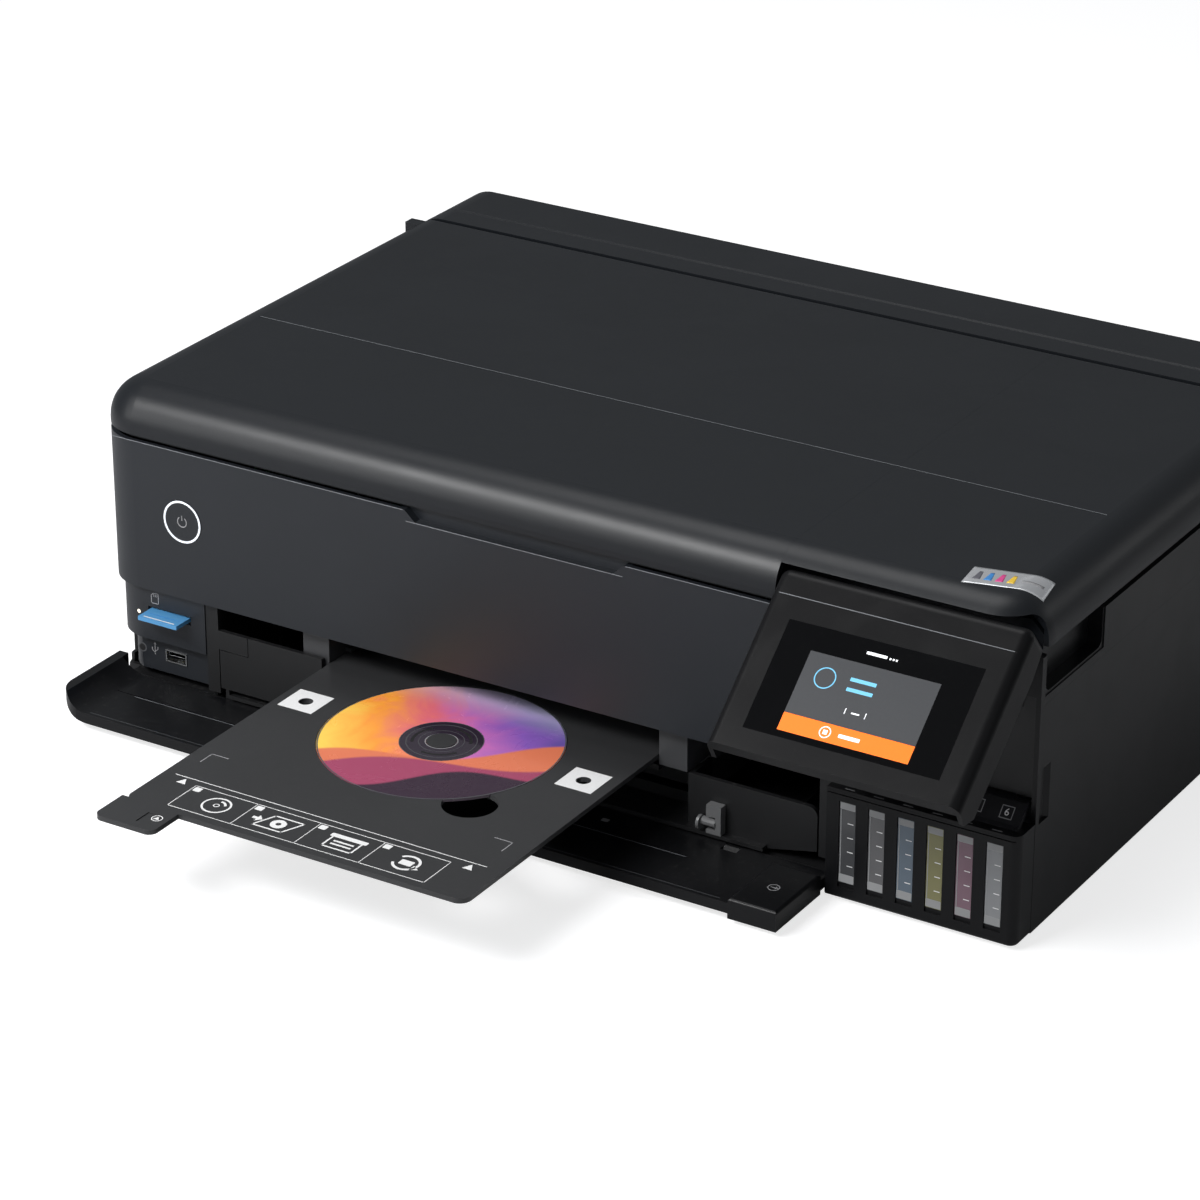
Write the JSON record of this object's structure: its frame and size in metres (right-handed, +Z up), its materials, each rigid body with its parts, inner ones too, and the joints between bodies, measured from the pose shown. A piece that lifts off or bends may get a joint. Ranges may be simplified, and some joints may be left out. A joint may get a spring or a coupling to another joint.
{
  "type": "disc label printer",
  "caption": "Flat dark multifunction printer with a lifting scanner, tilting touch panel, front ink tanks and a sliding tray that prints on a disc.",
  "frame": {"origin": "on the table plane, under the middle of the whole part's footprint with the disc tray out", "axes": "+X to the machine's right as seen from its front, +Y from the front towards the back, +Z up from the table"},
  "size_m": [0.523, 0.553, 0.169],
  "materials": {
    "body_plastic": "satin dark blue-grey moulding, faint spark texture",
    "front_plastic": "fine-textured dark blue-grey",
    "frame_plastic": "plain dark structural moulding",
    "side_plastic": "dark side cover moulding",
    "panel_gloss": "polished near-black",
    "screen": "printed black touch glass with a lit display",
    "tray_plastic": "charcoal tray moulding with white printing",
    "disc_print": null,
    "label_plate": null,
    "ink_one": "dark tank",
    "ink_two": "grey tank",
    "ink_three": "blue-grey tank",
    "ink_four": "olive tank",
    "ink_five": "mauve tank",
    "ink_six": "light grey tank",
    "cap_rubber": "moulded rubber caps",
    "rubber_black": "soft black rubber",
    "steel": "plain steel",
    "chrome": "bright plated steel",
    "motor_metal": "zinc-grey motor cans",
    "white_plastic": "white foam-backed sheet",
    "guide_plastic": "dark charcoal guide moulding",
    "latch_plastic": "mid-grey moulding",
    "grey_plastic": "light grey moulding",
    "card_blue": "blue card",
    "flat_glass": "clear float glass",
    "board": "green circuit board",
    "psu_metal": "dark coated supply case"
  },
  "bodies": {
    "body": {"bottom_frame": "frame_plastic", "rubber_feet": "rubber_black", "left_side_cover": "side_plastic", "right_side_cover": "side_plastic", "rear_frame": "frame_plastic", "front_panel": "front_plastic", "front_frame": "frame_plastic", "card_slot_panel": "front_plastic", "usb_port": "steel", "case_screws": "steel", "tank_housing": "side_plastic", "ink_tank_1": "ink_one", "ink_tank_2": "ink_two", "ink_tank_3": "ink_three", "ink_tank_4": "ink_four", "ink_tank_5": "ink_five", "ink_tank_6": "ink_six", "filler_caps": "cap_rubber", "label_deck": "label_plate", "panel_bay": "frame_plastic", "hinge_pins": "steel", "tray_guide": "guide_plastic", "platen": "frame_plastic", "print_rail": "steel", "drive_belts": "rubber_black", "drive_motors": "motor_metal", "capping_station": "grey_plastic", "maintenance_box": "grey_plastic", "main_board": "board", "power_supply": "psu_metal", "feeder_hopper": "frame_plastic"},
    "scanner_unit": {"scanner_base": "body_plastic", "scanner_front_rail": "body_plastic", "scanner_glass": "flat_glass"},
    "scanner_lid": {"document_cover": "body_plastic", "cover_pad": "white_plastic"},
    "scan_bar": {"scan_carriage": "frame_plastic"},
    "control_panel": {"control_panel_housing": "panel_gloss", "screen_glass": "screen"},
    "power_key": {"power_button": "front_plastic"},
    "card": {"memory_card": "card_blue"},
    "cd_tray": {"disc_tray": "tray_plastic", "disc": "disc_print"},
    "front_door": {"front_cover": "body_plastic"},
    "main_cassette": {"paper_cassette": "frame_plastic", "cassette_latch": "latch_plastic"},
    "small_cassette": {"photo_cassette": "frame_plastic"},
    "paper_tray": {"output_tray": "frame_plastic"},
    "exit_shaft": {"exit_roller": "rubber_black"},
    "feed_shaft": {"feed_roller": "steel"},
    "star_axle": {"star_wheels": "steel"},
    "pinch_axle": {"pinch_rollers": "grey_plastic"},
    "carriage": {"print_carriage": "frame_plastic"},
    "motor_shaft": {"motor_pulley": "grey_plastic"},
    "idler_shaft": {"idler_pulley": "grey_plastic"},
    "paper_edge": {"edge_guide": "grey_plastic"},
    "support": {"paper_support": "frame_plastic"},
    "back_door": {"rear_cover": "body_plastic"},
    "feeder_lid": {"rear_feeder_cover": "body_plastic"},
    "tank_lid": {"ink_tank_cover": "frame_plastic"}
  },
  "joints": [
    {"name": "scanner_lift", "type": "hinge", "parent": "body", "child": "scanner_unit", "pos_m": [0, 0.225, 0.147], "axis": [-1, 0, 0], "range_deg": [0, 35]},
    {"name": "document_cover_hinge", "type": "hinge", "parent": "scanner_unit", "child": "scanner_lid", "pos_m": [0, 0.189, 0.165], "axis": [-1, 0, 0], "range_deg": [0, 75]},
    {"name": "scan_bar_slide", "type": "slide", "parent": "scanner_unit", "child": "scan_bar", "axis": [1, 0, 0], "range_m": [0, 0.277]},
    {"name": "panel_tilt", "type": "hinge", "parent": "body", "child": "control_panel", "pos_m": [0, -0.0879, 0.1472], "axis": [-1, 0, 0], "range_deg": [-49, 0]},
    {"name": "power_button_press", "type": "slide", "parent": "body", "child": "power_key", "axis": [0, 1, 0], "range_m": [0, 0.0012], "stiffness_N_per_m": 700, "springref_m": -0.001},
    {"name": "memory_card_slide", "type": "slide", "parent": "body", "child": "card", "axis": [0, 1, 0], "range_m": [-0.022, 0.001]},
    {"name": "disc_tray_slide", "type": "slide", "parent": "body", "child": "cd_tray", "axis": [0, 1, 0], "range_m": [-0.09, 0.16]},
    {"name": "front_cover_hinge", "type": "hinge", "parent": "body", "child": "front_door", "pos_m": [0, -0.093, 0.009], "axis": [-1, 0, 0], "range_deg": [0, 35]},
    {"name": "paper_cassette_slide", "type": "slide", "parent": "body", "child": "main_cassette", "axis": [0, 1, 0], "range_m": [-0.15, 0]},
    {"name": "photo_cassette_slide", "type": "slide", "parent": "body", "child": "small_cassette", "axis": [0, 1, 0], "range_m": [-0.12, 0]},
    {"name": "output_tray_slide", "type": "slide", "parent": "body", "child": "paper_tray", "axis": [0, 1, 0], "range_m": [-0.075, 0]},
    {"name": "exit_roller_spin", "type": "hinge", "parent": "body", "child": "exit_shaft", "pos_m": [0, 0.005, 0.03745], "axis": [1, 0, 0], "continuous": true},
    {"name": "feed_roller_spin", "type": "hinge", "parent": "body", "child": "feed_shaft", "pos_m": [0, 0.097, 0.03645], "axis": [1, 0, 0], "continuous": true},
    {"name": "star_wheel_spin", "type": "hinge", "parent": "body", "child": "star_axle", "pos_m": [0, 0.005, 0.05065], "axis": [1, 0, 0], "continuous": true},
    {"name": "pinch_roller_spin", "type": "hinge", "parent": "body", "child": "pinch_axle", "pos_m": [0, 0.097, 0.04915], "axis": [1, 0, 0], "continuous": true},
    {"name": "carriage_slide", "type": "slide", "parent": "body", "child": "carriage", "axis": [1, 0, 0], "range_m": [-0.34, 0]},
    {"name": "motor_pulley_spin", "type": "hinge", "parent": "body", "child": "motor_shaft", "pos_m": [-0.224, 0.096, 0.1], "axis": [0, 1, 0], "continuous": true},
    {"name": "idler_pulley_spin", "type": "hinge", "parent": "body", "child": "idler_shaft", "pos_m": [0.24, 0.096, 0.1], "axis": [0, 1, 0], "continuous": true},
    {"name": "edge_guide_slide", "type": "slide", "parent": "body", "child": "paper_edge", "axis": [1, 0, 0], "range_m": [0, 0.12]},
    {"name": "paper_support_lift", "type": "slide", "parent": "body", "child": "support", "axis": [0, 0, 1], "range_m": [0, 0.11]},
    {"name": "rear_cover_pull", "type": "slide", "parent": "body", "child": "back_door", "axis": [0, 1, 0], "range_m": [0, 0.025]},
    {"name": "rear_feeder_cover_hinge", "type": "hinge", "parent": "body", "child": "feeder_lid", "pos_m": [0, 0.246, 0.16], "axis": [-1, 0, 0], "range_deg": [0, 90]},
    {"name": "ink_tank_cover_hinge", "type": "hinge", "parent": "body", "child": "tank_lid", "pos_m": [0, 0.018, 0.1156], "axis": [-1, 0, 0], "range_deg": [0, 15]}
  ],
  "couplings": [
    {"joint": "exit_roller_spin", "follows": "disc_tray_slide", "rad_per_m": -200},
    {"joint": "feed_roller_spin", "follows": "disc_tray_slide", "rad_per_m": -166.67},
    {"joint": "star_wheel_spin", "follows": "disc_tray_slide", "rad_per_m": 200},
    {"joint": "pinch_roller_spin", "follows": "disc_tray_slide", "rad_per_m": 285.71},
    {"joint": "motor_pulley_spin", "follows": "carriage_slide", "rad_per_m": -142.86},
    {"joint": "idler_pulley_spin", "follows": "carriage_slide", "rad_per_m": -142.86}
  ]
}
